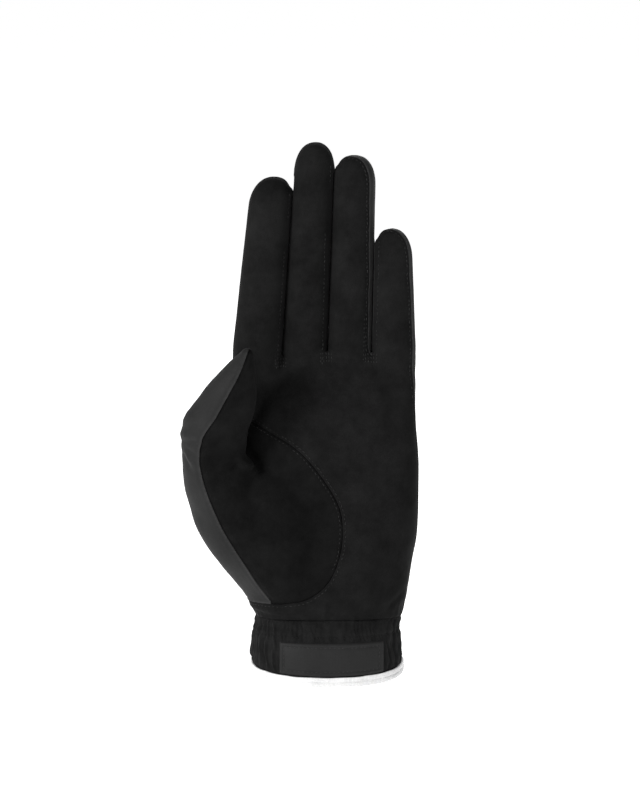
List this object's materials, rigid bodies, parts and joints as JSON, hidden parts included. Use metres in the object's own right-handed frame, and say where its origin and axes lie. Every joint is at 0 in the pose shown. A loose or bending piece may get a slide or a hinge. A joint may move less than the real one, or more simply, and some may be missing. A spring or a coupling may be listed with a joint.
{
  "type": "golf rain glove",
  "caption": "Left-hand golf rain glove in worn shape, with suede-like palm, smooth back, set-in thumb, gathered elastic cuff, bare label and bound rim.",
  "frame": {"origin": "centre of the rim of the wrist opening, where the glove sits on the wrist", "axes": "+Z runs from the wrist to the fingertips, -Y is the palm side, the thumb is at -X and the little finger at +X"},
  "size_m": [0.1014, 0.0694, 0.2325],
  "materials": {
    "palm_suede": "napped microfibre suede",
    "back_softshell": "smooth matt softshell",
    "cuff_stretch": "gathered stretch cloth",
    "label_patch": "matt rubberised cloth",
    "white_tape": "plain woven tape"
  },
  "bodies": {
    "root": {"palm_panel": "palm_suede", "thumb_panel": "palm_suede", "back_panel": "back_softshell", "forchette_index_middle": "back_softshell", "forchette_middle_ring": "back_softshell", "forchette_ring_little": "back_softshell", "cuff": "cuff_stretch", "cuff_label": "label_patch", "cuff_binding": "white_tape"}
  },
  "joints": []
}
